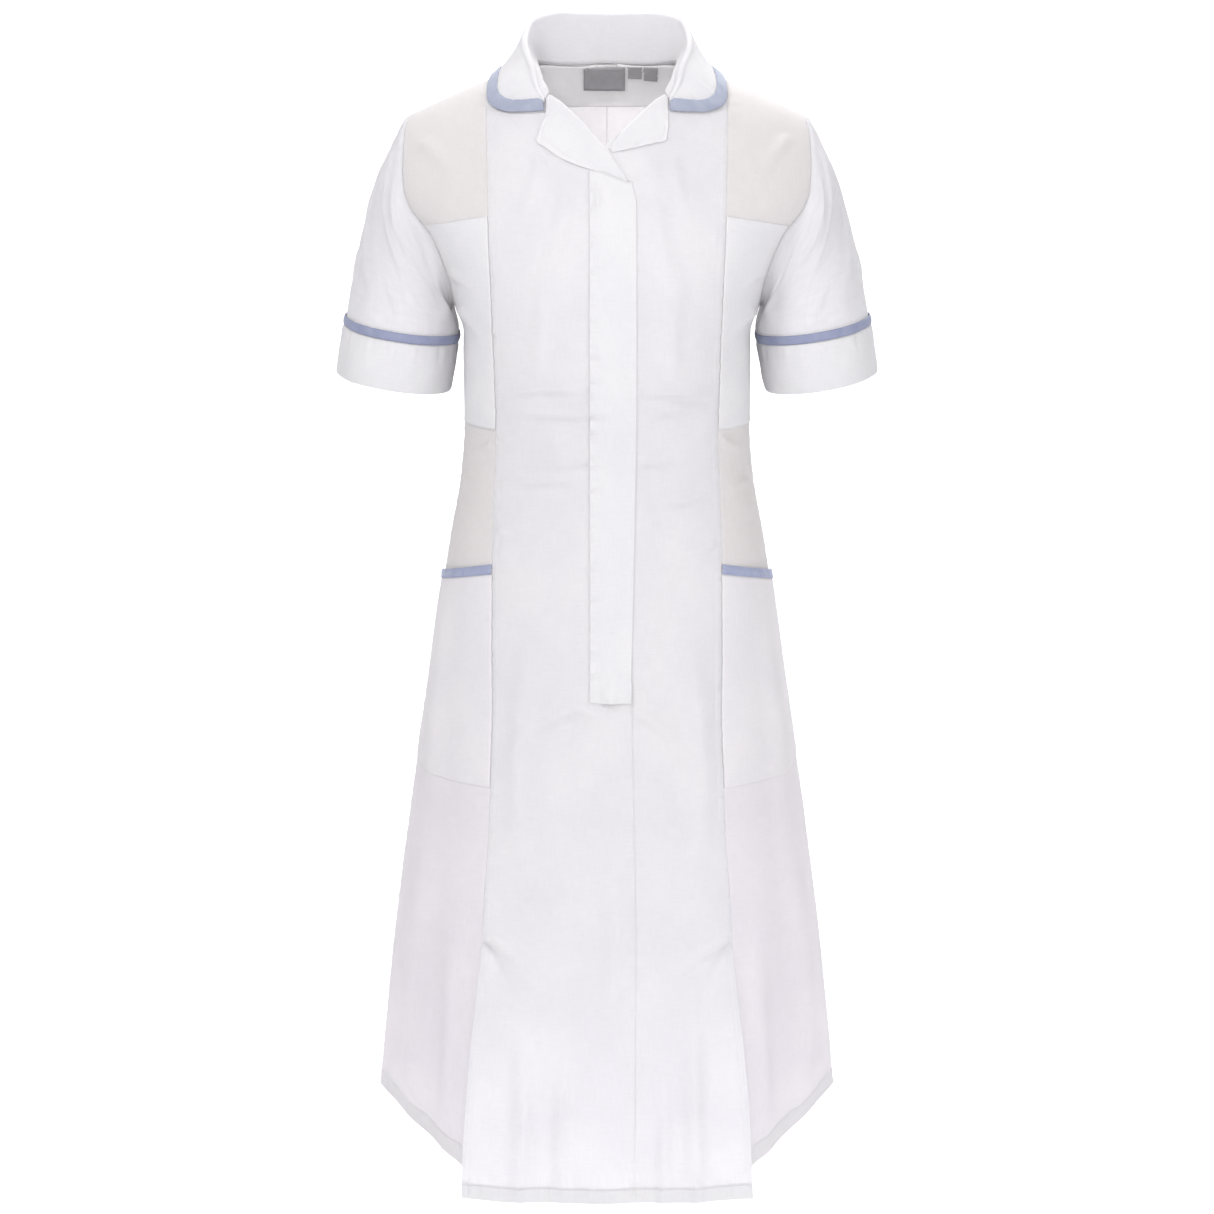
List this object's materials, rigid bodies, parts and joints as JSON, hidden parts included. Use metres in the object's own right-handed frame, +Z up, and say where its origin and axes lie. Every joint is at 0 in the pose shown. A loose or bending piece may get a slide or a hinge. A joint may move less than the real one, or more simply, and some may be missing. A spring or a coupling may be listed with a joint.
{
  "type": "nurse uniform dress",
  "caption": "White knee-length work dress, worn shape and hollow, with a covered front fastening, open lapels, short cuffed sleeves, hip pockets and blue trim on collar, cuffs and pockets.",
  "frame": {"origin": "between the shoulders, on the middle plane, level with the shoulder seams, 10 mm below the line between the two neck points", "axes": "+X towards the wearer's left, -Y towards the front, +Z up along the dress"},
  "size_m": [0.5096, 0.3294, 1.1042],
  "materials": {
    "white_cloth": "matt plain-weave polyester and cotton",
    "blue_trim": "matt plain-weave binding, mid blue",
    "label_tape": "satin woven label tape, grey"
  },
  "bodies": {
    "root": {"front_right": "white_cloth", "front_left": "white_cloth", "fly": "white_cloth", "lapel_right": "white_cloth", "lapel_left": "white_cloth", "side_front_right": "white_cloth", "side_front_left": "white_cloth", "back_right": "white_cloth", "back_left": "white_cloth", "back_neck_facing": "white_cloth", "hip_pocket_right": "white_cloth", "hip_pocket_left": "white_cloth", "breast_pocket_right": "white_cloth", "breast_pocket_left": "white_cloth", "sleeve_right": "white_cloth", "sleeve_left": "white_cloth", "cuff_right": "white_cloth", "cuff_left": "white_cloth", "collar": "white_cloth", "hip_pocket_trim_right": "blue_trim", "hip_pocket_trim_left": "blue_trim", "cuff_trim_right": "blue_trim", "cuff_trim_left": "blue_trim", "collar_trim": "blue_trim", "neck_label": "label_tape", "size_tag": "label_tape", "fit_tag": "label_tape"}
  },
  "joints": []
}
